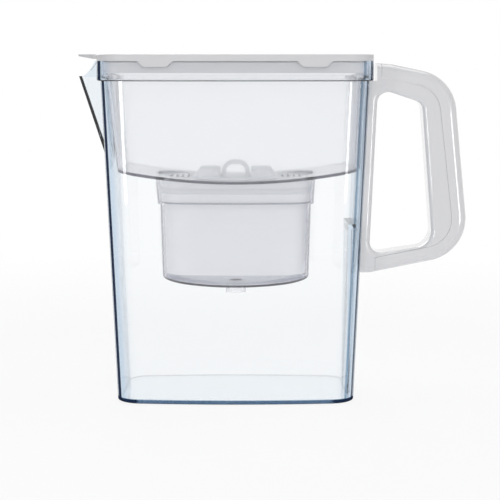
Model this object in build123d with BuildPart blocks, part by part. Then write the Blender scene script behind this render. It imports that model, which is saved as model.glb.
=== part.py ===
from build123d import *
import math
import os

# Water filter pitcher. Millimetres, +Z up, origin in the middle of the flat base.
# The spout points to -X and the handle to +X.

# Jug: a clear tapered cup with a stepped-out collar round its mouth
base_length = 166.6
base_depth = 93.5
shoulder_length = 185.0
shoulder_depth = 106.8
shoulder_height = 222.0
collar_height = 13.5
corner_radius = 18.0
side_bow = 5.0
end_bow = 2.0
wall = 2.6
base_thickness = 3.0
base_edge_radius = 1.2
cut_margin = 1.0
collar_step = 2.55
collar_wall = 2.4
ledge_thickness = 1.7
collar_edge_radius = 1.2

# Spout: a V-shaped beak that leans out of the front end wall
spout_height = 65.0
spout_reach = 17.6
spout_lip_rise = 2.8
spout_lip_flat = 3.8
spout_half_width = 17.5
spout_root_half_width = 3.0
spout_nose_radius = 2.4
spout_wall = 2.2
spout_floor_rise = 4.4
spout_overlap = 3.0
spout_curve_along = 0.57
spout_curve_up = 0.42

# Pocket in the rear wall, open downwards, whose top edge carries the handle's hook
pocket_height = 120.0
pocket_half_width = 19.0
pocket_depth = 6.773
pocket_corner = 3.0

# Rear rail and the two ribs beside it, which hold the handle's upper end
rail_length = 17.0
rail_stem_half_width = 4.0
rail_head_half_width = 7.5
rail_stem_reach = 1.6
rail_head_thickness = 1.9
rib_length = 22.0
rib_width = 2.0
rib_reach = 2.2
rib_end_radius = 1.5
rail_clearance = 0.15

# Handle: a hollow closed loop, made of a frame and an outer cover. Its points are given as the
# distance from the jug's rear wall and the height above its foot or above the jug's shoulder.
handle_half_width = 13.0
handle_gap = 0.3
handle_foot = 86.9
handle_top_rise = 11.9
handle_top_setback = 5.8
handle_heel_reach = 7.5
bend_low_reach = 77.01
bend_low_rise = 14.2
bend_high_reach = 59.21
bend_high_rise = 2.1
handle_bend_radius = 30.0
crest_reach = 15.54
crest_rise = 11.2
handle_crest_radius = 20.0
handle_heel_radius = 8.0
handle_outer_edge = 5.4
handle_inner_edge = 3.6
handle_wall = 2.6
opening_top_left_reach = 6.93
opening_top_left_drop = 5.5
opening_top_right_reach = 38.05
opening_top_right_drop = 15.6
opening_bottom_right_reach = 50.58
opening_bottom_right_rise = 19.8
opening_bottom_left_reach = 6.66
opening_bottom_left_rise = 13.1
opening_small_radius = 7.5
opening_large_radius = 12.0
cover_thickness = 11.0
cover_arm_depth = 8.2
cover_bend_radius = 20.0
cover_start_top_reach = 9.0
cover_start_bottom_reach = 11.1
cover_seam = 0.15
hook_half_width = 6.0
hook_height = 3.4
hook_reach = 2.6
hook_clearance = 0.2

# Reservoir: the funnel that hangs in the jug's mouth, with the cartridge chamber below it
fit_gap = 0.4
rim_wall = 1.8
reservoir_rim_gap = 1.0
flange_thickness = 2.1
reservoir_wall = 2.0
top_front_gap = 0.5
top_rear_gap = 2.6
top_side_gap = 1.3
low_front_gap = 5.92
low_rear_gap = 2.22
low_side_gap = 3.84
reservoir_corner = 16.0
reservoir_depth = 71.4
loft_drop = 2.3
floor_rise = 8.0
chamber_step_length = 110.0
chamber_step_depth = 63.4
mouth_flare_length = 1.9
mouth_flare_depth = 1.3
mouth_drop = 15.9
step_ledge_length = 1.7
step_ledge_depth = 1.4
chamber_taper_length = 1.7
chamber_taper_depth = 1.3
chamber_drop = 57.5
chamber_floor_rise = 4.5
chamber_corner = 22.0
chamber_side_bow = 3.0
chamber_end_bow = 4.0
chamber_edge_radius = 2.5
nozzle_radius = 7.0
nozzle_bore = 4.5
nozzle_length = 6.5

# Filter cartridge
cartridge_clearance = 0.6
cartridge_wall = 1.5
cartridge_stand = 0.4
cartridge_base_gap = 6.5
cap_thickness = 2.5
cap_skirt_height = 5.0
cap_dome_foot_length = 58.0
cap_dome_top_length = 50.0
cap_dome_depth = 34.0
cap_dome_height = 5.8
cap_dome_corner = 5.0
cap_recess_length = 21.8
cap_dome_wall = 1.4
cap_skirt_wall = 1.2
cap_edge_radius = 0.8
loop_length = 19.8
loop_width = 6.0
loop_height = 11.2
loop_bar = 3.0
loop_radius = 8.5
intake_offset = 39.0
intake_pitch = 4.0
intake_columns = 4
intake_length = 22.0
intake_width = 1.6
dome_slot_pitch = 6.2
dome_slot_length = 4.5
dome_slot_spacing = 21.0
seal_height = 4.0
seal_rise = 7.6
soft_gap = 0.3
seal_lead_in = 0.8
screen_thickness = 0.8
screen_pitch_x = 8.0
screen_pitch_y = 4.0
screen_columns = 10
screen_rows = 9
screen_slot_length = 6.0
screen_slot_width = 1.6
drain_pitch_x = 13.0
drain_pitch_y = 9.0
drain_columns = 5
drain_rows = 3
drain_length = 9.0
drain_width = 1.6
bed_gap = 0.15
softener_bed_height = 24.9

# Lid: a white plate with a skirt, two side tongues each side, a refill hatch and a pour flap
lid_thickness = 4.4
lid_skin = 2.4
lid_skirt_drop = 8.0
lid_skirt_wall = 1.8
lid_edge_radius = 0.8
tongue_spacing = 107.0
tongue_drop = 3.9
tongue_bottom_width = 16.0
tongue_top_width = 23.8
tongue_clearance = 0.4
hatch_middle = 18.0
hatch_length = 100.0
hatch_width = 70.0
hatch_thickness = 2.4
hatch_corner = 9.0
hatch_gap = 0.5
hatch_ledge = 3.0
hatch_seat_gap = 0.1
hatch_frame_drop = 1.5
hatch_frame_margin = 6.0
finger_notch_radius = 11.0
finger_notch_depth = 1.5
hinge_radius = 2.0
hinge_gap = 0.4
hinge_pin_radius = 1.0
hinge_pin_length = 3.0
pin_clearance = 0.05
flap_axis_setback = 3.25
flap_hinge_radius = 1.6
flap_pin_radius = 0.8
flap_pin_length = 2.6
flap_half_width = 20.0
flap_overhang = 15.55
flap_tip_radius = 3.0
flap_root_overhang = 2.45
flap_seat_gap = 0.3
flap_root_drop = 3.1
flap_tip_drop = 1.2

ledge_height = shoulder_height + ledge_thickness
rim_height = shoulder_height + collar_height
lid_top = rim_height + lid_thickness
base_half = base_length / 2
end_slope = (shoulder_length - base_length) / 2 / shoulder_height
collar_front = -(shoulder_length / 2 + collar_step)
spout_root_height = shoulder_height - spout_height
spout_lip_height = shoulder_height + spout_lip_rise
rail_bottom = shoulder_height - rail_length
rib_bottom = shoulder_height - rib_length
floor_middle = ledge_height - reservoir_depth
loft_bottom = floor_middle - loft_drop
mouth_height = floor_middle + floor_rise
chamber_step_height = floor_middle - mouth_drop
chamber_base_height = chamber_step_height - chamber_drop
chamber_mouth_length = chamber_step_length + 2 * mouth_flare_length
chamber_mouth_depth = chamber_step_depth + 2 * mouth_flare_depth
chamber_low_top_length = chamber_step_length - 2 * step_ledge_length
chamber_low_top_depth = chamber_step_depth - 2 * step_ledge_depth
chamber_base_length = chamber_low_top_length - 2 * chamber_taper_length
chamber_base_depth = chamber_low_top_depth - 2 * chamber_taper_depth
seat_height = chamber_step_height + reservoir_wall
cartridge_top = floor_middle + cartridge_stand


def wall_x(height):
    """Distance from the middle to the jug's outer end face at a height."""
    return base_half + end_slope * height


def off_wall(reach, height):
    """A point at a distance behind the jug's rear wall, seen from the front."""
    return (wall_x(height) + reach, height)


pocket_face = wall_x(pocket_height) - pocket_depth


def plan(length, depth, radius, side, end, shift=0.0):
    """A rounded rectangle with bowed sides, seen from above."""
    half_x = length / 2
    half_y = depth / 2
    corner_x = half_x - end
    corner_y = half_y - side
    with BuildSketch(Plane.XY) as shape:
        with BuildLine():
            ThreePointArc((shift - corner_x, -corner_y), (shift, -half_y), (shift + corner_x, -corner_y))
            ThreePointArc((shift + corner_x, -corner_y), (shift + half_x, 0), (shift + corner_x, corner_y))
            ThreePointArc((shift + corner_x, corner_y), (shift, half_y), (shift - corner_x, corner_y))
            ThreePointArc((shift - corner_x, corner_y), (shift - half_x, 0), (shift - corner_x, -corner_y))
        make_face()
        fillet(shape.vertices(), radius)
    return shape.sketch


def jug_plan(height, inset=0.0):
    """The jug's section at a height, drawn in by an inset."""
    share = height / shoulder_height
    length = base_length + (shoulder_length - base_length) * share
    depth = base_depth + (shoulder_depth - base_depth) * share
    return plan(length - 2 * inset, depth - 2 * inset, corner_radius - inset, side_bow, end_bow)


def collar_plan(inset=0.0):
    """The collar's outline, drawn in by an inset."""
    grow = collar_step - inset
    length = shoulder_length + 2 * grow
    depth = shoulder_depth + 2 * grow
    return plan(length, depth, corner_radius + grow, side_bow, end_bow)


def chamber_plan(length, depth, inset=0.0):
    """An oval section of the cartridge chamber or of what stands in it."""
    return plan(
        length - 2 * inset, depth - 2 * inset, chamber_corner - inset, chamber_side_bow, chamber_end_bow
    )


def tapered(low_height, low, high_height, high):
    """The solid between two sections at two heights."""
    with BuildPart(Plane.XY) as body:
        with BuildSketch(Plane.XY.offset(low_height)):
            add(low)
        with BuildSketch(Plane.XY.offset(high_height)):
            add(high)
        loft(ruled=True)
    return body.part


def slab(outline, bottom, top):
    """The outline, pulled up from one height to another."""
    with BuildPart(Plane.XY) as body:
        with BuildSketch(Plane.XY.offset(bottom)):
            add(outline)
        extrude(amount=top - bottom)
    return body.part


def save(part, name):
    """Writes one piece to its own file."""
    part.label = name
    export_step(part, f"parts/{name}.step")


os.makedirs("parts", exist_ok=True)


# Jug

def spout_plan(height, inset):
    """The spout's V at a height, from inside the end wall to its nose."""
    share = (height - spout_root_height) / (spout_lip_height - spout_root_height)
    half = spout_root_half_width + (spout_half_width - spout_root_half_width) * share
    inner = wall_x(height) - wall - spout_overlap
    tip = wall_x(height) + spout_reach * share
    slant = math.atan2(half, tip - inner)
    corner = tip + spout_nose_radius * (1 / math.sin(slant) - 1)
    side = half - inset / math.cos(slant)
    with BuildSketch(Plane.XY) as shape:
        with BuildLine():
            Polyline((-inner, -side), (inset / math.sin(slant) - corner, 0), (-inner, side), close=True)
        make_face()
        fillet(shape.vertices().sort_by(Axis.X)[0], spout_nose_radius - inset / 2)
    return shape.sketch


jug_outside = tapered(0, jug_plan(0), shoulder_height, jug_plan(shoulder_height))
spout_outside = tapered(
    spout_root_height, spout_plan(spout_root_height, 0), rim_height, spout_plan(rim_height, 0)
)

with BuildPart() as spout_trim:
    with BuildSketch(Plane.XZ):
        with BuildLine():
            lip = -wall_x(spout_lip_height) - spout_reach + spout_lip_flat
            rim_front = collar_front - spout_nose_radius
            curve = ThreePointArc(
                (lip, spout_lip_height),
                (
                    lip + (rim_front - lip) * spout_curve_along,
                    spout_lip_height + (rim_height - spout_lip_height) * spout_curve_up,
                ),
                (rim_front, rim_height),
            )
            Polyline(
                curve @ 1,
                (rim_front, rim_height + cut_margin),
                (lip - spout_reach, rim_height + cut_margin),
                (lip - spout_reach, spout_lip_height),
                curve @ 0,
            )
        make_face()
    extrude(amount=2 * spout_half_width, both=True)

with BuildPart() as pocket_block:
    with BuildSketch(Plane.XZ):
        with BuildLine():
            Polyline(
                (pocket_face, -cut_margin),
                (pocket_face, pocket_height),
                (wall_x(pocket_height) + pocket_corner, pocket_height),
                (wall_x(pocket_height) + pocket_corner, -cut_margin),
                close=True,
            )
        make_face()
    extrude(amount=pocket_half_width, both=True)
    pocket_edges = pocket_block.faces().sort_by(Axis.X)[0].edges().sort_by(Axis.Z)[1:]
    fillet(pocket_edges, pocket_corner)

with BuildPart() as pocket_boss:
    add(jug_outside)
    with BuildSketch(Plane.XZ):
        with BuildLine():
            Polyline(
                (pocket_face - wall, 0),
                (pocket_face - wall, pocket_height + wall),
                (wall_x(pocket_height + wall), pocket_height + wall),
                (wall_x(pocket_height + wall), 0),
                close=True,
            )
        make_face()
    extrude(amount=pocket_half_width + wall, both=True, mode=Mode.INTERSECT)


def rail_plan(height, grow):
    """The T-shaped rail's section at a height, grown by a clearance."""
    root = wall_x(height) - wall / 2
    stem = wall_x(height) + rail_stem_reach - grow
    head = wall_x(height) + rail_stem_reach + rail_head_thickness + grow
    with BuildSketch(Plane.XY) as shape:
        with BuildLine():
            Polyline(
                (root, -rail_stem_half_width - grow),
                (stem, -rail_stem_half_width - grow),
                (stem, -rail_head_half_width - grow),
                (head, -rail_head_half_width - grow),
                (head, rail_head_half_width + grow),
                (stem, rail_head_half_width + grow),
                (stem, rail_stem_half_width + grow),
                (root, rail_stem_half_width + grow),
                close=True,
            )
        make_face()
    return shape.sketch


def rib_plan(height, side):
    """A guide rib's section at a height, on one side of the handle's plate."""
    inner = handle_half_width + handle_gap
    root = wall_x(height) - wall / 2
    outer = wall_x(height) + rib_reach
    with BuildSketch(Plane.XY) as shape:
        with BuildLine():
            Polyline(
                (root, side * inner),
                (outer, side * inner),
                (outer, side * (inner + rib_width)),
                (root, side * (inner + rib_width)),
                close=True,
            )
        make_face()
    return shape.sketch


tongue_bottom = rim_height - tongue_drop


def tongue_shape(clearance):
    """The four lid tongues' outlines, as blocks through the collar's long sides."""
    with BuildPart(Plane.XZ) as body:
        with BuildSketch(Plane.XZ):
            with Locations((-tongue_spacing / 2, 0), (tongue_spacing / 2, 0)):
                with BuildLine(mode=Mode.PRIVATE) as edge:
                    Polyline(
                        (-tongue_bottom_width / 2 - clearance, tongue_bottom - clearance),
                        (tongue_bottom_width / 2 + clearance, tongue_bottom - clearance),
                        (tongue_top_width / 2 + clearance, rim_height + clearance),
                        (-tongue_top_width / 2 - clearance, rim_height + clearance),
                        close=True,
                    )
                add(make_face(edge.line, mode=Mode.PRIVATE))
        extrude(amount=shoulder_depth / 2 + collar_step + cut_margin, both=True)
    return body.part


with BuildPart() as collar_block:
    add(slab(collar_plan(), shoulder_height, rim_height))
    fillet(collar_block.edges().group_by(Axis.Z)[0], collar_edge_radius)

with BuildPart() as guide_ribs:
    for side in (-1, 1):
        add(tapered(rib_bottom, rib_plan(rib_bottom, side), shoulder_height, rib_plan(shoulder_height, side)))
    fillet(guide_ribs.edges().filter_by(Axis.Y).group_by(Axis.Z)[0].sort_by(Axis.X)[-2:], rib_end_radius)

with BuildPart() as pitcher_body:
    add(jug_outside)
    fillet(pitcher_body.edges().group_by(Axis.Z)[0], base_edge_radius)
    add(collar_block.part)
    add(spout_outside)
    add(spout_trim.part, mode=Mode.SUBTRACT)
    add(
        tapered(base_thickness, jug_plan(base_thickness, wall), ledge_height, jug_plan(ledge_height, wall)),
        mode=Mode.SUBTRACT,
    )
    add(slab(collar_plan(collar_wall), ledge_height, rim_height + cut_margin), mode=Mode.SUBTRACT)
    add(tongue_shape(tongue_clearance), mode=Mode.SUBTRACT)
    add(pocket_boss.part)
    add(pocket_block.part, mode=Mode.SUBTRACT)
    add(
        tapered(
            spout_root_height + spout_floor_rise,
            spout_plan(spout_root_height + spout_floor_rise, spout_wall),
            rim_height + cut_margin,
            spout_plan(rim_height + cut_margin, spout_wall),
        ),
        mode=Mode.SUBTRACT,
    )
    add(tapered(rail_bottom, rail_plan(rail_bottom, 0), shoulder_height, rail_plan(shoulder_height, 0)))
    add(guide_ribs.part)
save(pitcher_body.part, "pitcher_body")


# Handle

handle_top = shoulder_height + handle_top_rise
handle_heel = off_wall(handle_heel_reach, handle_foot)
handle_bend_low = off_wall(bend_low_reach, handle_foot + bend_low_rise)
handle_bend_high = off_wall(bend_high_reach, shoulder_height + bend_high_rise)
handle_crest = off_wall(crest_reach, shoulder_height + crest_rise)
opening_top_left = off_wall(opening_top_left_reach, shoulder_height - opening_top_left_drop)
opening_top_right = off_wall(opening_top_right_reach, shoulder_height - opening_top_right_drop)
opening_bottom_right = off_wall(opening_bottom_right_reach, handle_foot + opening_bottom_right_rise)
opening_bottom_left = off_wall(opening_bottom_left_reach, handle_foot + opening_bottom_left_rise)
cover_start_top = wall_x(shoulder_height) + cover_start_top_reach
cover_start_bottom = wall_x(handle_foot) + cover_start_bottom_reach


def corner_at(vertices, point):
    """The vertex that lies nearest a point of a sketch."""
    return vertices.sort_by_distance(Vector(point[0], point[1], 0))[0]


def loop_outline():
    """The handle's outer outline, seen from the front."""
    foot = off_wall(handle_gap, handle_foot)
    head = (wall_x(shoulder_height) + handle_top_setback, handle_top)
    head_foot = (head[0], shoulder_height - handle_gap)
    shoulder = (wall_x(shoulder_height) + handle_gap, shoulder_height - handle_gap)
    with BuildSketch(Plane.XY) as shape:
        with BuildLine():
            Polyline(
                foot,
                handle_heel,
                handle_bend_low,
                handle_bend_high,
                handle_crest,
                head,
                head_foot,
                shoulder,
                close=True,
            )
        make_face()
        fillet(corner_at(shape.vertices(), handle_heel), handle_heel_radius)
        fillet(corner_at(shape.vertices(), handle_crest), handle_crest_radius)
        fillet(corner_at(shape.vertices(), handle_bend_low), handle_bend_radius)
        fillet(corner_at(shape.vertices(), handle_bend_high), handle_bend_radius)
    return shape.sketch


def opening_outline():
    """The finger opening's outline, seen from the front."""
    with BuildSketch(Plane.XY) as shape:
        with BuildLine():
            Polyline(
                opening_top_left, opening_top_right, opening_bottom_right, opening_bottom_left, close=True
            )
        make_face()
        for point in (opening_top_left, opening_top_right, opening_bottom_left):
            fillet(corner_at(shape.vertices(), point), opening_small_radius)
        fillet(corner_at(shape.vertices(), opening_bottom_right), opening_large_radius)
    return shape.sketch


def inside_of_cover():
    """The region that belongs to the frame: all that the cover does not wrap."""
    low = (handle_bend_low[0] - cover_thickness, handle_bend_low[1] + cover_arm_depth)
    high = (handle_bend_high[0] - cover_thickness, handle_bend_high[1] - cover_arm_depth)
    low_slope = (handle_bend_low[1] - handle_foot) / (handle_bend_low[0] - handle_heel[0])
    high_slope = (handle_bend_high[1] - handle_crest[1]) / (handle_bend_high[0] - handle_crest[0])
    with BuildSketch(Plane.XY) as shape:
        with BuildLine():
            Polyline(
                (base_half, handle_foot - cut_margin),
                (cover_start_bottom, handle_foot - cut_margin),
                (cover_start_bottom, low[1] - low_slope * (low[0] - cover_start_bottom)),
                low,
                high,
                (cover_start_top, high[1] + high_slope * (cover_start_top - high[0])),
                (cover_start_top, handle_top + cut_margin),
                (base_half, handle_top + cut_margin),
                close=True,
            )
        make_face()
        fillet(corner_at(shape.vertices(), low), cover_bend_radius)
        fillet(corner_at(shape.vertices(), high), cover_bend_radius)
    return shape.sketch


with BuildPart() as handle_blank:
    with BuildSketch(Plane.XZ):
        add(loop_outline())
    extrude(amount=handle_half_width, both=True)
    sides = handle_blank.faces().filter_by(Axis.Y)
    outer_edges = ShapeList(
        edge for edge in sides.edges() if edge.center().X > cover_start_top
    )
    fillet(outer_edges, handle_outer_edge)
    with BuildSketch(Plane.XZ):
        add(opening_outline())
    extrude(amount=handle_half_width + cut_margin, both=True, mode=Mode.SUBTRACT)
    sides = handle_blank.faces().filter_by(Axis.Y)
    inner_edges = ShapeList(edge for face in sides for wire in face.inner_wires() for edge in wire.edges())
    fillet(inner_edges, handle_inner_edge)


def frame_region(grow):
    """A block right through the handle that holds the frame, grown by part of the seam."""
    with BuildPart(Plane.XZ) as body:
        with BuildSketch(Plane.XZ):
            add(inside_of_cover())
            offset(amount=grow)
        extrude(amount=handle_half_width + cut_margin, both=True)
    return body.part


with BuildPart() as handle_cavity:
    with BuildSketch(Plane.XZ):
        add(loop_outline())
        offset(amount=-handle_wall)
        with BuildSketch(mode=Mode.PRIVATE) as ring:
            add(opening_outline())
            offset(amount=handle_wall)
        add(ring.sketch, mode=Mode.SUBTRACT)
        with Locations((0, handle_top / 2)):
            Rectangle(2 * (cover_start_top + handle_wall), handle_top * 2, mode=Mode.SUBTRACT)
    extrude(amount=handle_half_width - handle_wall, both=True)

with BuildPart() as handle_frame:
    add(handle_blank.part)
    add(frame_region(-cover_seam / 2), mode=Mode.INTERSECT)
    add(handle_cavity.part, mode=Mode.SUBTRACT)
    add(
        tapered(
            rail_bottom - rail_clearance,
            rail_plan(rail_bottom - rail_clearance, rail_clearance),
            shoulder_height,
            rail_plan(shoulder_height, rail_clearance),
        ),
        mode=Mode.SUBTRACT,
    )
    hook_top = pocket_height - hook_clearance
    hook_root = wall_x(pocket_height) + handle_gap + handle_wall / 2
    with BuildSketch(Plane.XZ):
        with BuildLine():
            Polyline(
                (wall_x(pocket_height) - hook_reach, hook_top),
                (hook_root, hook_top),
                (hook_root, hook_top - hook_height),
                (wall_x(pocket_height) - hook_reach, hook_top - hook_height / 2),
                close=True,
            )
        make_face()
    extrude(amount=hook_half_width, both=True)
save(handle_frame.part, "handle_frame")

with BuildPart() as handle_cover:
    add(handle_blank.part)
    add(frame_region(cover_seam / 2), mode=Mode.SUBTRACT)
    add(handle_cavity.part, mode=Mode.SUBTRACT)
save(handle_cover.part, "handle_cover")


# Reservoir funnel

top_space_length = shoulder_length - 2 * wall
top_space_depth = shoulder_depth - 2 * wall
low_share = loft_bottom / shoulder_height
low_space_length = 2 * (wall_x(loft_bottom) - wall)
low_space_depth = base_depth + (shoulder_depth - base_depth) * low_share - 2 * wall
reservoir_top_length = top_space_length - top_front_gap - top_rear_gap
reservoir_top_depth = top_space_depth - 2 * top_side_gap
reservoir_low_length = low_space_length - low_front_gap - low_rear_gap
reservoir_low_depth = low_space_depth - 2 * low_side_gap
reservoir_top_shift = (top_front_gap - top_rear_gap) / 2
reservoir_low_shift = (low_front_gap - low_rear_gap) / 2


def reservoir_plan(height, inset):
    """The reservoir's section at a height, drawn in by an inset."""
    share = (height - loft_bottom) / (ledge_height - loft_bottom)
    length = reservoir_low_length + (reservoir_top_length - reservoir_low_length) * share
    depth = reservoir_low_depth + (reservoir_top_depth - reservoir_low_depth) * share
    shift = reservoir_low_shift + (reservoir_top_shift - reservoir_low_shift) * share
    return plan(length - 2 * inset, depth - 2 * inset, reservoir_corner - inset, side_bow, end_bow, shift)


def arch(lowest, length, rise, inset):
    """A long round bar whose underside gives a floor its gentle curve."""
    half = length / 2
    radius = (half * half + rise * rise) / (2 * rise)
    with BuildPart(Plane.XZ) as body:
        with BuildSketch(Plane.XZ):
            with Locations((0, lowest + radius)):
                Circle(radius - inset)
        extrude(amount=reservoir_low_depth, both=True)
    return body.part


def reservoir_block(top, inset):
    """The reservoir's tapered body above its curved floor."""
    with BuildPart(Plane.XY) as body:
        add(tapered(loft_bottom, reservoir_plan(loft_bottom, inset), top, reservoir_plan(top, inset)))
        add(arch(floor_middle, reservoir_low_length, floor_rise, inset), mode=Mode.INTERSECT)
    return body.part


def chamber_block(top, inset):
    """The chamber's lower stage above its curved floor."""
    with BuildPart(Plane.XY) as body:
        add(
            tapered(
                chamber_base_height + inset,
                chamber_plan(chamber_base_length, chamber_base_depth, inset),
                top,
                chamber_plan(chamber_low_top_length, chamber_low_top_depth, inset),
            )
        )
        add(arch(chamber_base_height, chamber_base_length, chamber_floor_rise, inset), mode=Mode.INTERSECT)
    return body.part


rim_inset = collar_wall + fit_gap
reservoir_rim_height = rim_height - reservoir_rim_gap

with BuildPart() as chamber_outside:
    add(chamber_block(chamber_step_height, 0))
    fillet(chamber_outside.faces().sort_by(Axis.Z)[0].edges(), chamber_edge_radius)
    with BuildSketch(Plane.XY.offset(chamber_base_height - nozzle_length)):
        Circle(nozzle_radius)
    extrude(amount=nozzle_length + reservoir_wall)

with BuildPart() as reservoir_funnel:
    add(reservoir_block(ledge_height, 0))
    add(
        tapered(
            chamber_step_height,
            chamber_plan(chamber_step_length, chamber_step_depth),
            mouth_height,
            chamber_plan(chamber_mouth_length, chamber_mouth_depth),
        )
    )
    add(chamber_outside.part)
    add(slab(collar_plan(rim_inset), ledge_height, reservoir_rim_height))
    add(
        slab(collar_plan(rim_inset + rim_wall), ledge_height + flange_thickness, rim_height + cut_margin),
        mode=Mode.SUBTRACT,
    )
    add(reservoir_block(ledge_height + flange_thickness + cut_margin, reservoir_wall), mode=Mode.SUBTRACT)
    add(
        tapered(
            seat_height,
            chamber_plan(chamber_step_length, chamber_step_depth, reservoir_wall),
            mouth_height + reservoir_wall,
            chamber_plan(chamber_mouth_length, chamber_mouth_depth, reservoir_wall),
        ),
        mode=Mode.SUBTRACT,
    )
    add(chamber_block(seat_height, reservoir_wall), mode=Mode.SUBTRACT)
    with BuildSketch(Plane.XY.offset(chamber_base_height - nozzle_length)):
        Circle(nozzle_bore)
    extrude(amount=nozzle_length + reservoir_wall + cut_margin, mode=Mode.SUBTRACT)
save(reservoir_funnel.part, "reservoir_funnel")


# Filter cartridge

cartridge_base = chamber_base_height + reservoir_wall + cartridge_base_gap
cartridge_fit = reservoir_wall + cartridge_clearance
cavity_seat = seat_height + cartridge_wall


def cartridge_plan(height, inset=0.0):
    """The section of the cartridge's lower stage at a height, drawn in by an inset."""
    share = (height - cartridge_base) / (seat_height - cartridge_base)
    length = chamber_base_length + (chamber_low_top_length - chamber_base_length) * share
    depth = chamber_base_depth + (chamber_low_top_depth - chamber_base_depth) * share
    return chamber_plan(length, depth, cartridge_fit + inset)


def cartridge_upper_plan(inset=0.0):
    """The section of the cartridge's upper stage, drawn in by an inset."""
    return chamber_plan(chamber_step_length, chamber_step_depth, cartridge_fit + inset)


with BuildPart() as cartridge_housing:
    add(tapered(cartridge_base, cartridge_plan(cartridge_base), seat_height, cartridge_plan(seat_height)))
    add(slab(cartridge_upper_plan(), seat_height, cartridge_top))
    floor_top = cartridge_base + cartridge_wall
    add(
        tapered(
            floor_top,
            cartridge_plan(floor_top, cartridge_wall),
            cavity_seat,
            cartridge_plan(cavity_seat, cartridge_wall),
        ),
        mode=Mode.SUBTRACT,
    )
    add(
        slab(cartridge_upper_plan(cartridge_wall), cavity_seat, cartridge_top + cut_margin),
        mode=Mode.SUBTRACT,
    )
    with BuildSketch(Plane.XY.offset(cartridge_base)):
        with GridLocations(drain_pitch_x, drain_pitch_y, drain_columns, drain_rows):
            SlotOverall(drain_length, drain_width)
    extrude(amount=cartridge_wall, mode=Mode.SUBTRACT)
save(cartridge_housing.part, "cartridge_housing")


def screen(bottom, outline, name):
    """A thin plate with rows of slots that holds the filter granules back."""
    with BuildPart(Plane.XY) as body:
        with BuildSketch(Plane.XY.offset(bottom)):
            add(outline)
            with GridLocations(screen_pitch_x, screen_pitch_y, screen_columns, screen_rows):
                SlotOverall(screen_slot_length, screen_slot_width, mode=Mode.SUBTRACT)
        extrude(amount=screen_thickness)
    save(body.part, name)


screen_inset = cartridge_wall + bed_gap
upper_screen_bottom = cavity_seat
middle_screen_bottom = floor_top + screen_thickness + softener_bed_height
screen(floor_top, cartridge_plan(floor_top, screen_inset), "cartridge_bottom_screen")
screen(middle_screen_bottom, cartridge_plan(middle_screen_bottom, screen_inset), "cartridge_middle_screen")
screen(upper_screen_bottom, cartridge_upper_plan(screen_inset), "cartridge_top_screen")


def granule_bed(bottom, top, name):
    """The loose filter granules between two screens, as one filled space."""
    bed = tapered(bottom, cartridge_plan(bottom, screen_inset), top, cartridge_plan(top, screen_inset))
    save(bed, name)


granule_bed(floor_top + screen_thickness, middle_screen_bottom, "softener_beads")
granule_bed(middle_screen_bottom + screen_thickness, upper_screen_bottom, "carbon_granules")

cap_top = cartridge_top + cap_thickness
dome_top = cap_top + cap_dome_height
shoulder_foot_length = (cap_dome_foot_length - cap_recess_length) / 2
shoulder_top_length = (cap_dome_top_length - cap_recess_length) / 2
shoulder_middle = (cap_recess_length + shoulder_top_length) / 2


def cap_shoulders(bottom, top, inset):
    """The two raised halves of the cap's dome, one each side of the recess for the fingers."""
    with BuildPart(Plane.XY) as body:
        for side in (-1, 1):
            with BuildSketch(Plane.XY.offset(bottom)):
                with Locations((side * (cap_recess_length + shoulder_foot_length) / 2, 0)):
                    RectangleRounded(
                        shoulder_foot_length - 2 * inset, cap_dome_depth - 2 * inset, cap_dome_corner - inset
                    )
            with BuildSketch(Plane.XY.offset(top)):
                with Locations((side * shoulder_middle, 0)):
                    RectangleRounded(
                        shoulder_top_length - 2 * inset, cap_dome_depth - 2 * inset, cap_dome_corner - inset
                    )
            loft(ruled=True)
    return body.part


with BuildPart() as pull_loop:
    with BuildSketch(Plane.XZ) as loop:
        with Locations((0, cap_top + (loop_height - cap_thickness / 2) / 2)):
            Rectangle(loop_length, loop_height + cap_thickness / 2)
        fillet(loop.vertices().group_by(Axis.Y)[-1], loop_radius)
        with BuildSketch(mode=Mode.PRIVATE) as loop_hole:
            with Locations((0, cap_top + (loop_height - loop_bar) / 2)):
                Rectangle(loop_length - 2 * loop_bar, loop_height - loop_bar)
            fillet(loop_hole.vertices().group_by(Axis.Y)[-1], loop_radius - loop_bar)
        add(loop_hole.sketch, mode=Mode.SUBTRACT)
    extrude(amount=loop_width / 2, both=True)

with BuildPart() as cartridge_cap:
    add(slab(cartridge_upper_plan(), cartridge_top, cap_top))
    add(slab(cartridge_upper_plan(screen_inset), cartridge_top - cap_skirt_height, cartridge_top))
    fillet(cartridge_cap.edges().group_by(Axis.Z)[-1], cap_edge_radius)
    add(cap_shoulders(cap_top, dome_top, 0))
    fillet(cartridge_cap.edges().group_by(Axis.Z)[-1], cap_edge_radius)
    add(
        slab(
            cartridge_upper_plan(screen_inset + cap_skirt_wall),
            cartridge_top - cap_skirt_height,
            cartridge_top,
        ),
        mode=Mode.SUBTRACT,
    )
    add(cap_shoulders(cartridge_top, dome_top - cap_dome_wall, cap_dome_wall), mode=Mode.SUBTRACT)
    with BuildSketch(Plane.XY.offset(cartridge_top)):
        with Locations((-intake_offset, 0), (intake_offset, 0)):
            with GridLocations(intake_pitch, intake_pitch, intake_columns, 1):
                SlotOverall(intake_length, intake_width, rotation=90)
    extrude(amount=cap_thickness, mode=Mode.SUBTRACT)
    with BuildSketch(Plane.XY.offset(cap_top)):
        with Locations((-shoulder_middle, 0), (shoulder_middle, 0)):
            with GridLocations(dome_slot_pitch, dome_slot_spacing, 2, 2):
                SlotOverall(dome_slot_length, intake_width)
    extrude(amount=cap_dome_height, mode=Mode.SUBTRACT)
    add(pull_loop.part)
save(cartridge_cap.part, "cartridge_cap")

seal_bottom = seat_height + seal_rise - seal_height / 2


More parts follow.
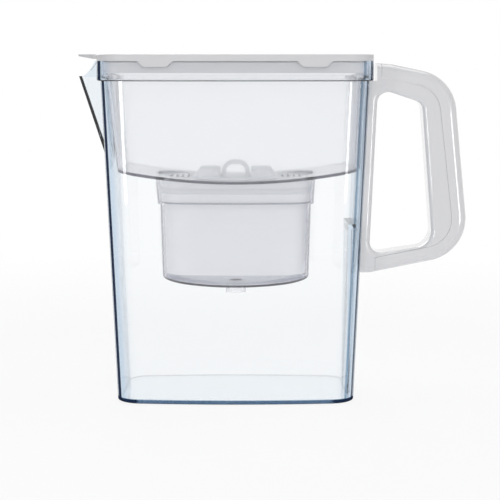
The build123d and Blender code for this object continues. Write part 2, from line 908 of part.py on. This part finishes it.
def chamber_bore_plan(height, inset):
    """The inside of the chamber's upper stage at a height, drawn in by an inset."""
    share = (height - seat_height) / (mouth_height - chamber_step_height)
    length = chamber_step_length + (chamber_mouth_length - chamber_step_length) * share
    depth = chamber_step_depth + (chamber_mouth_depth - chamber_step_depth) * share
    return chamber_plan(length, depth, reservoir_wall + inset)


with BuildPart() as cartridge_seal:
    add(slab(chamber_bore_plan(seal_bottom, soft_gap), seal_bottom, seal_bottom + seal_height))
    chamfer(cartridge_seal.edges().group_by(Axis.Z)[0], seal_lead_in)
    add(slab(cartridge_upper_plan(), seal_bottom, seal_bottom + seal_height), mode=Mode.SUBTRACT)
save(cartridge_seal.part, "cartridge_seal")


# Lid

hatch_front = hatch_middle - hatch_length / 2
hatch_axis = hatch_middle + hatch_length / 2
hinge_height = lid_top - hinge_radius
flap_height = lid_top - flap_hinge_radius
skirt_inset = collar_wall + 2 * fit_gap + rim_wall
lid_skirt_bottom = rim_height - lid_skirt_drop
hatch_frame_back = hatch_axis + hatch_frame_margin
flap_axis = collar_front + flap_axis_setback
flap_tip = collar_front - flap_overhang
flap_root_end = collar_front - flap_root_overhang


def hatch_outline(grow):
    """The hatch seen from above: rounded in front, square at its hinge."""
    half = hatch_width / 2 + grow
    with BuildSketch(Plane.XY) as shape:
        with BuildLine():
            Polyline(
                (hatch_axis, -half),
                (hatch_front - grow, -half),
                (hatch_front - grow, half),
                (hatch_axis, half),
                close=True,
            )
        make_face()
        fillet(shape.vertices().group_by(Axis.X)[0], hatch_corner + grow)
    return shape.sketch


def rod(radius, half_length, x, height):
    """A round bar along Y."""
    with BuildPart(Plane.XZ) as body:
        with BuildSketch(Plane.XZ):
            with Locations((x, height)):
                Circle(radius)
        extrude(amount=half_length, both=True)
    return body.part


def hinge_groove(radius, half_length, x, height):
    """The groove that a hinge barrel turns in, open at the top."""
    with BuildPart(Plane.XZ) as body:
        with BuildSketch(Plane.XZ):
            with Locations((x, height)):
                Circle(radius)
            with Locations((x, height + radius / 2)):
                Rectangle(2 * radius, radius)
        extrude(amount=half_length, both=True)
    return body.part


with BuildPart() as tongue_band:
    add(slab(collar_plan(), tongue_bottom, rim_height))
    add(slab(collar_plan(collar_wall), tongue_bottom, rim_height), mode=Mode.SUBTRACT)
    add(tongue_shape(0), mode=Mode.INTERSECT)

with BuildPart() as hatch_frame:
    with BuildSketch(Plane.XY.offset(rim_height - hatch_frame_drop)):
        with Locations(((hatch_front - hatch_ledge + hatch_frame_back) / 2, 0)):
            RectangleRounded(
                hatch_frame_back - hatch_front + hatch_ledge,
                hatch_width + 2 * (hinge_pin_length + hatch_ledge),
                hatch_corner,
            )
    extrude(amount=hatch_frame_drop + lid_thickness - lid_skin / 2)

with BuildPart() as lid_shell:
    add(slab(collar_plan(), rim_height, lid_top))
    fillet(lid_shell.edges().group_by(Axis.Z)[-1], lid_edge_radius)
    add(slab(collar_plan(skirt_inset), lid_skirt_bottom, rim_height))
    add(
        slab(collar_plan(skirt_inset + lid_skirt_wall), lid_skirt_bottom, lid_top - lid_skin),
        mode=Mode.SUBTRACT,
    )
    add(tongue_band.part)
    add(hatch_frame.part)
    add(
        slab(hatch_outline(hatch_gap), lid_top - hatch_thickness - hatch_seat_gap, lid_top),
        mode=Mode.SUBTRACT,
    )
    add(slab(hatch_outline(-hatch_ledge), rim_height - hatch_frame_drop, lid_top), mode=Mode.SUBTRACT)
    add(
        hinge_groove(hinge_radius + hinge_gap, hatch_width / 2 + hatch_gap, hatch_axis, hinge_height),
        mode=Mode.SUBTRACT,
    )
    add(
        rod(
            hinge_pin_radius + pin_clearance,
            hatch_width / 2 + hinge_pin_length + hatch_gap,
            hatch_axis,
            hinge_height,
        ),
        mode=Mode.SUBTRACT,
    )
    with BuildSketch(Plane.XY.offset(lid_top - finger_notch_depth)):
        with Locations((hatch_front - hatch_gap, 0)):
            Circle(finger_notch_radius)
    extrude(amount=finger_notch_depth, mode=Mode.SUBTRACT)
    with BuildSketch(Plane.XY.offset(lid_top - flap_root_drop - flap_seat_gap)):
        with Locations(((flap_axis + flap_tip) / 2, 0)):
            Rectangle(flap_axis - flap_tip, 2 * (flap_half_width + hatch_gap))
    extrude(amount=flap_root_drop + flap_seat_gap, mode=Mode.SUBTRACT)
    add(
        hinge_groove(flap_hinge_radius + hinge_gap, flap_half_width + hatch_gap, flap_axis, flap_height),
        mode=Mode.SUBTRACT,
    )
    add(
        rod(
            flap_pin_radius + pin_clearance,
            flap_half_width + flap_pin_length + hatch_gap,
            flap_axis,
            flap_height,
        ),
        mode=Mode.SUBTRACT,
    )
save(lid_shell.part, "lid_shell")

with BuildPart() as refill_hatch:
    add(slab(hatch_outline(0), lid_top - hatch_thickness, lid_top))
    add(rod(hinge_radius, hatch_width / 2, hatch_axis, hinge_height))
    add(rod(hinge_pin_radius, hatch_width / 2 + hinge_pin_length, hatch_axis, hinge_height))
save(refill_hatch.part, "refill_hatch")

with BuildPart() as pour_flap:
    with BuildSketch(Plane.XZ):
        with BuildLine():
            Polyline(
                (flap_axis, lid_top),
                (flap_tip, lid_top),
                (flap_tip, lid_top - flap_tip_drop),
                (flap_root_end, lid_top - flap_root_drop),
                (flap_axis, lid_top - flap_root_drop),
                close=True,
            )
        make_face()
    extrude(amount=flap_half_width, both=True)
    with BuildSketch(Plane.XY.offset(lid_top - flap_root_drop)) as outline:
        with BuildLine():
            Polyline(
                (flap_axis, -flap_half_width),
                (flap_root_end, -flap_half_width),
                (flap_tip, 0),
                (flap_root_end, flap_half_width),
                (flap_axis, flap_half_width),
                close=True,
            )
        make_face()
        fillet(outline.vertices().sort_by(Axis.X)[0], flap_tip_radius)
    extrude(amount=flap_root_drop, mode=Mode.INTERSECT)
    add(rod(flap_hinge_radius, flap_half_width, flap_axis, flap_height))
    add(rod(flap_pin_radius, flap_half_width + flap_pin_length, flap_axis, flap_height))
save(pour_flap.part, "pour_flap")
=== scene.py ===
# %% [markdown]
# # A water filter pitcher
# This lesson dresses a clear jug with a white handle and lid, a smoky funnel that hangs in
# its mouth, and a filter cartridge in the funnel. The solids come from a CAD model and stay
# where they are. What is left for Blender is what the eye reads first: clear plastic with
# dark edges, smoky plastic, white mouldings, and soft light on a white sweep.

# %% Load the fixed frame
from math import pi, radians

import bmesh
import bpy
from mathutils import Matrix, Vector

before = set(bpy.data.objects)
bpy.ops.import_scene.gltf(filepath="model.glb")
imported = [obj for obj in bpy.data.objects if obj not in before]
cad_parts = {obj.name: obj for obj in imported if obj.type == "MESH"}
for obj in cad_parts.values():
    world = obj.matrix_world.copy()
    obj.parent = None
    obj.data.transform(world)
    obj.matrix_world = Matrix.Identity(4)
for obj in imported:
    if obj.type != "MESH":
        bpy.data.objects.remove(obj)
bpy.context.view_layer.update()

# %% [markdown]
# ## The camera
# The photograph is a catalogue view: square on to the long side, from the height of the lid,
# tilted down by seven degrees. A long lens far away keeps the walls almost parallel. The
# height and the tilt follow from the lid, which is seen exactly edge-on, and from how round
# the base looks. Light crosses many thin walls here, so its paths may be long. Nor are
# mirrored rays blurred, because that would grey the inside of the jug.

# %% Place the camera
tilt_down = 7.1466
longest_path = 32
camera_data = bpy.data.cameras.new("catalogue_view")
camera_data.sensor_width = 36.0
camera_data.lens = 112.264
camera = bpy.data.objects.new("catalogue_view", camera_data)
camera.location = (0.01008, -1.1, 0.2398)
camera.rotation_euler = (pi / 2 - radians(tilt_down), 0, 0)
bpy.context.scene.collection.objects.link(camera)
bpy.context.scene.camera = camera
bpy.context.scene.view_settings.view_transform = "Standard"
tracing = bpy.context.scene.cycles
tracing.max_bounces = longest_path
tracing.transmission_bounces = longest_path
tracing.blur_glossy = 0.0
print("camera at", tuple(camera.location), "lens", camera_data.lens)

# %% [markdown]
# ## Shader maths as plain expressions
# A node tree for a mask soon needs ten Math nodes. A small class can wrap a socket and
# overload the operators, so that an expression such as 1 - mask * 0.5 adds its own nodes.
# Everything else, such as a noise texture or a colour mix, comes from one method that sets
# the node's own settings first and then its sockets. A socket whose name isn't the only one
# of its kind is given by its number, as in i0.

# %% Wrap sockets and node trees
def plug(tree, value, socket):
    """Gives a socket a value or a link."""
    if isinstance(value, Wire):
        tree.links.new(value.socket, socket)
    else:
        socket.default_value = value


class Wire:
    """A node's output that takes part in expressions."""

    def __init__(self, tree, socket):
        self.tree = tree
        self.socket = socket

    def maths(self, operation, *values):
        node = self.tree.nodes.new("ShaderNodeMath")
        node.operation = operation
        for value, socket in zip(values, node.inputs):
            plug(self.tree, value, socket)
        return Wire(self.tree, node.outputs[0])

    def __add__(self, other):
        return self.maths("ADD", self, other)

    __radd__ = __add__

    def __sub__(self, other):
        return self.maths("SUBTRACT", self, other)

    def __rsub__(self, other):
        return self.maths("SUBTRACT", other, self)

    def __mul__(self, other):
        return self.maths("MULTIPLY", self, other)

    __rmul__ = __mul__

    def __pow__(self, other):
        return self.maths("POWER", self, other)

    def __abs__(self):
        return self.maths("ABSOLUTE", self)

    def at_most(self, other):
        return self.maths("MINIMUM", self, other)

    def at_least(self, other):
        return self.maths("MAXIMUM", self, other)


class Nodes:
    """A node tree that is filled one call at a time."""

    def __init__(self, tree):
        self.tree = tree
        self.tree.nodes.clear()

    def node(self, kind, settings=None, out=0, **values):
        """Adds a node and gives back one of its outputs."""
        node = self.tree.nodes.new("ShaderNode" + kind)
        for key, value in (settings or {}).items():
            setattr(node, key, value)
        for key, value in values.items():
            numbered = key[0] == "i" and key[1:].isdigit()
            which = int(key[1:]) if numbered else key.replace("_", " ")
            plug(self.tree, value, node.inputs[which])
        return Wire(self.tree, node.outputs[out])


class Finish(Nodes):
    """A material for the solids."""

    def __init__(self, name):
        self.material = bpy.data.materials.new(name)
        self.material.use_nodes = True
        super().__init__(self.material.node_tree)
        self.output = self.tree.nodes.new("ShaderNodeOutputMaterial")

    def here(self):
        """The point's own coordinates, in metres."""
        return self.node("TexCoord", out="Object")

    def place(self, scale=1.0):
        """The same coordinates, scaled."""
        return self.node("Mapping", Vector=self.here(), Scale=(scale, scale, scale))

    def parts(self, vector):
        """The three numbers of a vector."""
        split = self.node("SeparateXYZ", Vector=vector).socket.node
        return [Wire(self.tree, socket) for socket in split.outputs]

    def fade(self, value, start, end):
        """0 below the start, 1 above the end, and smooth between them."""
        smooth = {"interpolation_type": "SMOOTHSTEP"}
        return self.node("MapRange", smooth, Value=value, From_Min=start, From_Max=end)

    def band(self, value, rise, fall):
        """0, then 1 from the end of the rise to the start of the fall, then 0 again."""
        return self.fade(value, *rise) * (1 - self.fade(value, *fall))

    def blend(self, amount, below, above):
        """Two colours mixed by an amount."""
        return self.node("Mix", {"data_type": "RGBA"}, out=2, i0=amount, i6=below, i7=above)

    def noise(self, scale, detail):
        """A cloud of values from 0 to 1, with so many swells to the metre."""
        return self.node("TexNoise", Vector=self.place(scale), Scale=1.0, Detail=detail)

    def show(self, surface, volume=None):
        self.tree.links.new(surface.socket, self.output.inputs["Surface"])
        if volume:
            self.tree.links.new(volume.socket, self.output.inputs["Volume"])
        return self.material


def rgb(red, green, blue):
    return (red, green, blue, 1.0)


print("helpers ready")

# %% [markdown]
# ## The sweep and the studio
# A catalogue photograph stands its object on a white sweep. Turning the lamps up until the
# floor burns out would burn out the white handle too. So the lamps stay plain, and the floor
# and the world turn white only for the rays that the eye, a mirror or a pane of glass sends
# out. Part of the floor stays ordinary paint, and that part keeps the jug's soft shadow. It
# lies a hair below the base, or the two faces would fight for the same plane.

# %% Make the floor and the white world
floor_half = 12.0
floor_drop = 0.0003
shadow_share = 0.15
shadow_reach = 0.8
fill_level = 0.37
white = rgb(1.0, 1.0, 1.0)


def seen_rays(nodes):
    """1 for rays from the camera, a reflection or clear plastic, otherwise 0."""
    camera_ray = nodes.node("LightPath", out="Is Camera Ray")
    glossy_ray = nodes.node("LightPath", out="Is Glossy Ray")
    through_ray = nodes.node("LightPath", out="Is Transmission Ray")
    return (camera_ray + glossy_ray + through_ray).at_most(1.0)


sweep = Finish("white_sweep")
matt = sweep.noise(12.0, 3.0) * 0.1 + 0.4
paint = sweep.node("BsdfDiffuse", Color=rgb(0.93, 0.93, 0.94), Roughness=matt)
glow = sweep.node("Emission", Color=white, Strength=1.0)
radius = sweep.node("VectorMath", {"operation": "LENGTH"}, out="Value", i0=sweep.here())
near = ((shadow_reach - radius) * 2.0).at_most(1.0).at_least(0.0)
glow_share = seen_rays(sweep) * (1 - near * shadow_share)
sweep.show(sweep.node("MixShader", i0=glow_share, i1=paint, i2=glow))

floor_mesh = bmesh.new()
bmesh.ops.create_grid(floor_mesh, x_segments=1, y_segments=1, size=floor_half)
floor_data = bpy.data.meshes.new("sweep")
floor_mesh.to_mesh(floor_data)
floor_mesh.free()
floor_data.materials.append(sweep.material)
floor = bpy.data.objects.new("sweep", floor_data)
floor.location.z = -floor_drop
bpy.context.scene.collection.objects.link(floor)

world = bpy.data.worlds.new("studio")
bpy.context.scene.world = world
world.use_nodes = True
studio = Nodes(world.node_tree)
light_level = seen_rays(studio) * (1.0 - fill_level) + fill_level
room = studio.node("Background", Color=white, Strength=light_level)
world_output = studio.tree.nodes.new("ShaderNodeOutputWorld")
studio.tree.links.new(room.socket, world_output.inputs["Surface"])
print("sweep and world ready, fill level", fill_level)

# %% [markdown]
# ## Lamps
# Glossy white plastic only looks glossy where something bright and sharp-edged mirrors in
# it. Two small soft boxes stand low, one each side of the camera, and draw the thin bright
# lines along the handle's rounded edges. Taller ones would burn out the lid from behind, so
# a wide lamp that nothing mirrors adds the rest of the front light. One more hangs overhead
# for the lid. The last stands behind, so that the back isn't left in the dark. Rays that
# pass through the plastic see only the overhead lamp, or each of the others would be a
# white patch in it.

# %% Hang the soft boxes
def soft_box(name, place, aim, size, power, mirrored=True, through=False):
    """A rectangular lamp that points at a spot on the object."""
    data = bpy.data.lights.new(name, "AREA")
    data.shape = "RECTANGLE"
    data.size, data.size_y = size
    data.energy = power
    lamp = bpy.data.objects.new(name, data)
    lamp.location = place
    lamp.rotation_euler = (Vector(aim) - Vector(place)).to_track_quat("-Z", "Y").to_euler()
    lamp.visible_camera = False
    lamp.visible_glossy = mirrored
    lamp.visible_transmission = through
    bpy.context.scene.collection.objects.link(lamp)


soft_box("left_box", (-0.45, -0.72, 0.105), (0.1, 0, 0.105), (0.14, 0.19), 0.78)
soft_box("right_box", (0.49, -0.70, 0.105), (0.1, 0, 0.105), (0.14, 0.19), 0.68)
soft_box("front_fill", (0.1, -1.2, 0.5), (0, 0, 0.2), (1.2, 0.5), 3.2, mirrored=False)
soft_box("top_box", (0.1, 0.2, 1.6), (0, 0, 0.1), (1.2, 0.9), 6.2, through=True)
soft_box("rear_box", (-0.4, 1.5, 0.9), (0, 0, 0.2), (0.9, 0.9), 7.0)

# %% [markdown]
# ## Where clear walls turn dark
# The jug is one clear moulding with walls under three millimetres thick. Face-on it is almost
# invisible. Down each rounded corner, though, light that enters the wall is trapped in it and
# never reaches the eye, which draws a dark line a little inside the outline. Tracing that
# would need a dark studio, and a dark studio would spoil the other views. So a mask finds the
# corners: their normals point neither square to the front nor square to the side, and they
# face outwards. A facing weight, which is 0 face-on and 1 edge-on, then picks the narrow
# strip that the eye sees turned away. The spout is whatever lies beyond the left wall, which
# leans outwards as it rises.

# %% Find the corners and the strips
wall_lean = 0.0414
left_wall = (0.0843, 0.0850)
under_collar = (0.2235, 0.2245)
pocket_side = (0.020, 0.026)
normal_leaning = (0.35, 0.8)
normal_up = (0.9, 0.99)
normal_diagonal = (0.12, 0.22)
corner_turns = (0.06, 0.42)
line_start = (0.49, 0.53)
line_end = (0.72, 0.77)
rim_start = (0.77, 0.80)


class Edges:
    """Masks on a finish that say where its walls turn, lie flat or end."""

    def __init__(self, finish):
        self.facing = finish.node("LayerWeight", Blend=0.5, out="Facing")
        self.x, self.y, self.z = finish.parts(finish.here())
        across, along, up = finish.parts(finish.node("NewGeometry", out="Normal"))
        inside_face = finish.node("NewGeometry", out="Backfacing")
        self.outward = finish.fade(across * self.x + along * self.y, 0.0, 0.01) * (1 - inside_face)
        self.upright = 1 - finish.fade(abs(up), *normal_leaning)
        self.level = finish.fade(abs(up), *normal_up)
        beyond_wall = finish.fade(0 - self.x - self.z * wall_lean, *left_wall)
        self.spout = beyond_wall * (1 - finish.fade(self.z, *under_collar)) * self.outward
        diagonal = finish.fade(abs(across * along), *normal_diagonal)
        self.corner = diagonal * self.outward * (1 - self.spout)
        self.pocket = 1 - finish.fade(abs(self.y), *pocket_side)
        standing_corner = self.corner * self.upright
        self.turned = finish.fade(self.facing, *corner_turns) * standing_corner
        self.line = finish.band(self.facing, line_start, line_end) * standing_corner
        self.rim = finish.fade(self.facing, *rim_start) * standing_corner


print("corner masks ready")

# %% [markdown]
# ## Clear plastic
# The base is a slab that the eye meets edge-on, so its light has crossed nine centimetres of
# faintly blue plastic. That turns the slab's edge blue, and round the corners it is painted
# darker still, as painted shade. The walls get only a breath of the same blue, from a volume
# that absorbs a little more red than blue. The spout is a fold, and its keel gets a painted
# dark line like the corners do. In the photograph the line of the corners by the handle is
# slimmer, with a second, fainter one inside it; both are painted shade.

# %% Mix the clear plastic
slab_top = (0.0027, 0.0032)
handle_side = (0.0, 0.01)
slim_line_start = (0.54, 0.60)
inner_line_start = (0.24, 0.29)
inner_line_end = (0.33, 0.38)
keel_start = (0.36, 0.50)


def clear_plastic():
    finish = Finish("clear_jug_plastic")
    edges = Edges(finish)
    # Painted shade, partly real: edge-on, round the corners, on level faces seen edge-on and in
    # the spout the walls are painted a darker blue-grey, partly for the longer path through blue
    # plastic.
    grazing = edges.facing ** 4.0 * edges.upright
    walls = finish.blend(grazing, rgb(0.995, 0.998, 1.0), rgb(0.32, 0.45, 0.58))
    walls = finish.blend(edges.turned, walls, rgb(0.45, 0.59, 0.76))
    walls = finish.blend(edges.level * edges.facing, walls, rgb(0.80, 0.86, 0.90))
    walls = finish.blend(edges.spout, walls, rgb(0.82, 0.89, 0.94))
    slab_edge = (1 - finish.fade(edges.z, *slab_top)) * edges.outward
    # Painted shade: round the corners the slab's blue edge is painted near-black.
    slab_blue_and_corner_shade = finish.blend(edges.corner, rgb(0.016, 0.05, 0.115), rgb(0.001, 0.006, 0.03))
    by_handle = finish.fade(edges.x, *handle_side)
    # Painted shade: a second, fainter dark line inside the corners by the handle.
    inner_strip = finish.band(edges.facing, inner_line_start, inner_line_end)
    inner_line = inner_strip * edges.corner * edges.upright * by_handle
    walls = finish.blend(inner_line, walls, rgb(0.10, 0.20, 0.32))
    # Painted shade: the dark shader below is mixed in along the corners' dark lines, the spout's
    # keel and the slab's corners.
    keel = edges.spout * finish.fade(edges.facing, *keel_start)
    slimmer = 1 - by_handle * (1 - finish.fade(edges.facing, *slim_line_start) * 0.8)
    wall_line = edges.line * slimmer * (1 - edges.pocket * 0.8) + edges.rim * 0.3
    darkness = (wall_line + keel * 0.8 + slab_edge * edges.corner * 0.85).at_most(0.97)
    clear = finish.node(
        "BsdfPrincipled",
        Base_Color=finish.blend(slab_edge, walls, slab_blue_and_corner_shade),
        Roughness=finish.noise(30.0, 1.0) * 0.01 + 0.005,
        IOR=1.52,
        Transmission_Weight=1.0,
    )
    dark = finish.node(
        "BsdfPrincipled",
        Base_Color=rgb(0.007, 0.02, 0.06),
        Roughness=0.35,
        Specular_IOR_Level=0.0,
    )
    depth = finish.node("VolumeAbsorption", Color=rgb(0.2, 0.45, 0.65), Density=10.0)
    return finish.show(finish.node("MixShader", i0=darkness, i1=clear, i2=dark), depth)


clear_jug = clear_plastic()
print("made", clear_jug.name)

# %% [markdown]
# ## Smoky plastic
# The funnel is moulded in a greyer, slightly milky plastic, so the cartridge behind it
# blurs. A little roughness scatters what is seen through it. Its two floors are curved
# plates seen edge-on, the funnel's and the chamber's, and light that runs along them comes
# out dark. Each floor follows a circle, so its height rises with the square of the distance
# from the middle, and that gives the mask for its edge.

# %% Mix the smoky plastic
chamber_top = (0.146, 0.149)
pan_top = (0.088, 0.090)
step_bottom = (0.1370, 0.1376)
step_top = (0.1379, 0.1385)
side_line_start = (0.60, 0.76)
funnel_bowl = {"lowest": 0.1523, "rise": 0.008, "half": 0.0818}
chamber_bowl = {"lowest": 0.0789, "rise": 0.0045, "half": 0.0516}


def floor_edge(finish, edges, lowest, rise, half):
    """1 on the outer edge of a curved floor two millimetres thick, otherwise 0."""
    height = edges.z - edges.x * edges.x * (rise / (half * half)) - lowest
    return finish.band(height, (-0.0012, -0.0004), (0.0012, 0.0022))


def smoky_plastic():
    finish = Finish("smoky_funnel_plastic")
    edges = Edges(finish)
    # Painted shade, partly real: edge-on and round the corners the walls are painted darker grey,
    # partly for the longer path through smoky plastic; the corners and the upright sides seen
    # edge-on get painted dark lines.
    grazing = edges.facing ** 4.0 * edges.upright
    walls = finish.blend(grazing, rgb(0.985, 0.985, 0.99), rgb(0.60, 0.60, 0.66))
    walls = finish.blend(edges.turned * 0.5, walls, rgb(0.72, 0.72, 0.77))
    walls = finish.blend(edges.line * 0.5, walls, rgb(0.35, 0.34, 0.42))
    in_chamber = 1 - finish.fade(edges.z, *chamber_top)
    side_line = edges.outward * edges.upright * finish.fade(edges.facing, *side_line_start)
    walls = finish.blend(side_line * (in_chamber * 0.5 + 0.4), walls, rgb(0.12, 0.12, 0.17))
    funnel_floor = floor_edge(finish, edges, **funnel_bowl)
    chamber_floor = floor_edge(finish, edges, **chamber_bowl)
    # Painted shade: the outer edges of both curved floors are painted near-black.
    rims = (funnel_floor * 0.8 + chamber_floor).at_most(1.0) * (1 - edges.level)
    walls = finish.blend(rims * 0.9, walls, rgb(0.05, 0.055, 0.10))
    # Painted shade: a dark line along the chamber's step.
    step = finish.band(edges.z, step_bottom, step_top)
    walls = finish.blend(step * 0.7, walls, rgb(0.40, 0.40, 0.46))
    # Painted shade: the chamber's low flat floor is painted a darker blue-grey.
    pan = edges.level * (1 - finish.fade(edges.z, *pan_top))
    walls = finish.blend(pan, walls, rgb(0.42, 0.43, 0.52))
    surface = finish.node(
        "BsdfPrincipled",
        Base_Color=walls,
        Roughness=finish.noise(60.0, 2.0) * 0.06 + 0.06,
        IOR=1.49,
        Transmission_Weight=0.97,
    )
    depth = finish.node("VolumeAbsorption", Color=rgb(0.33, 0.31, 0.43), Density=14.0)
    return finish.show(surface, depth)


smoky_funnel = smoky_plastic()
print("made", smoky_funnel.name)

# %% [markdown]
# ## White mouldings
# The handle is glossy white plastic with a mirror-like skin. The lid, the hatch and the flap
# are the same white with a satin skin, and the cartridge is duller still. A mould is
# polished by hand, so its gloss is never quite even, and cooling leaves a faint orange peel.
# Both are far too weak to see as a pattern, but they stop the surface from looking like
# paper.

# %% Mix the white plastics
def moulded_white(name, colour, gloss, peel, coat):
    """A white plastic from its colour, roughness, orange peel and mirror-like coat."""
    finish = Finish(name)
    spread = finish.noise(18.0, 3.0)
    grain = finish.noise(900.0, 1.0)
    deeper = [part * 0.97 for part in colour]
    surface = finish.node(
        "BsdfPrincipled",
        Base_Color=finish.blend(spread, rgb(*colour), rgb(*deeper)),
        Roughness=spread * 0.08 + gloss,
        IOR=1.5,
        Specular_IOR_Level=0.3 + coat * 0.4,
        Coat_Weight=coat,
        Coat_Roughness=0.03,
        Normal=finish.node("Bump", Strength=peel, Distance=0.0002, Height=grain),
    )
    return finish.show(surface)


white_handle = moulded_white("white_handle_plastic", (0.74, 0.74, 0.755), 0.10, 0.04, 1.0)
white_lid = moulded_white("white_lid_plastic", (0.715, 0.715, 0.73), 0.32, 0.04, 0.0)
cartridge_white = moulded_white("cartridge_plastic", (0.92, 0.92, 0.935), 0.42, 0.12, 0.1)
ring_rubber = moulded_white("ring_rubber", (0.80, 0.80, 0.82), 0.55, 0.15, 0.0)
print("made", white_handle.name, white_lid.name, cartridge_white.name, ring_rubber.name)

# %% [markdown]
# ## Screens and granules
# Inside the cartridge, fine screens hold back two beds: black carbon grains and cream
# softener beads. A Voronoi texture gives each grain its own cell, so its distance makes the
# round bump and its colour value the difference between neighbours. A screen is two wave
# textures that cross.

# %% Mix the granules and the screens
thread_waves = 320.0


def granules(name, dark, light, size):
    """Loose grains of one size, each with its own tone between dark and light."""
    finish = Finish(name)
    where = finish.place(1.0 / size)
    hollow = finish.node("TexVoronoi", Vector=where, Scale=1.0, out="Distance")
    cell = finish.node("TexVoronoi", Vector=where, Scale=1.0, out="Color")
    shade = finish.node("SeparateColor", Color=cell)
    surface = finish.node(
        "BsdfPrincipled",
        Base_Color=finish.blend(shade, dark, light),
        Roughness=shade * 0.2 + 0.5,
        Normal=finish.node("Bump", Strength=0.9, Distance=size * 0.5, Height=1 - hollow),
    )
    return finish.show(surface)


def threads(finish, direction):
    """Waves from 0 to 1 that run side by side."""
    bands = {"bands_direction": direction}
    return finish.node("TexWave", bands, Vector=finish.here(), Scale=thread_waves, out="Fac")


def woven(name):
    """A fine cloth of crossing threads."""
    finish = Finish(name)
    thread = threads(finish, "X").at_least(threads(finish, "Y"))
    surface = finish.node(
        "BsdfPrincipled",
        Base_Color=finish.blend(thread, rgb(0.55, 0.56, 0.58), rgb(0.86, 0.87, 0.89)),
        Roughness=0.55 - thread * 0.1,
        Normal=finish.node("Bump", Strength=0.5, Distance=0.0003, Height=thread),
    )
    return finish.show(surface)


carbon = granules("carbon_grains", rgb(0.012, 0.012, 0.014), rgb(0.07, 0.07, 0.075), 0.0011)
beads = granules("softener_grains", rgb(0.62, 0.52, 0.34), rgb(0.86, 0.78, 0.60), 0.0008)
screen = woven("woven_screen")
print("made", carbon.name, beads.name, screen.name)

# %% [markdown]
# ## Dressing the solids
# Each solid keeps its shape and only gets its finish, in every material slot it has.

# %% Give each piece its finish
wardrobe = {
    "pitcher_body": clear_jug,
    "reservoir_funnel": smoky_funnel,
    "handle_frame": white_handle,
    "handle_cover": white_handle,
    "lid_shell": white_lid,
    "refill_hatch": white_lid,
    "pour_flap": white_lid,
    "cartridge_housing": cartridge_white,
    "cartridge_cap": cartridge_white,
    "cartridge_seal": ring_rubber,
    "cartridge_top_screen": screen,
    "cartridge_middle_screen": screen,
    "cartridge_bottom_screen": screen,
    "carbon_granules": carbon,
    "softener_beads": beads,
}
for name, finish in wardrobe.items():
    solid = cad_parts[name]
    if not solid.material_slots:
        solid.data.materials.append(finish)
    for slot in solid.material_slots:
        slot.material = finish
print("dressed", len(wardrobe), "solids")
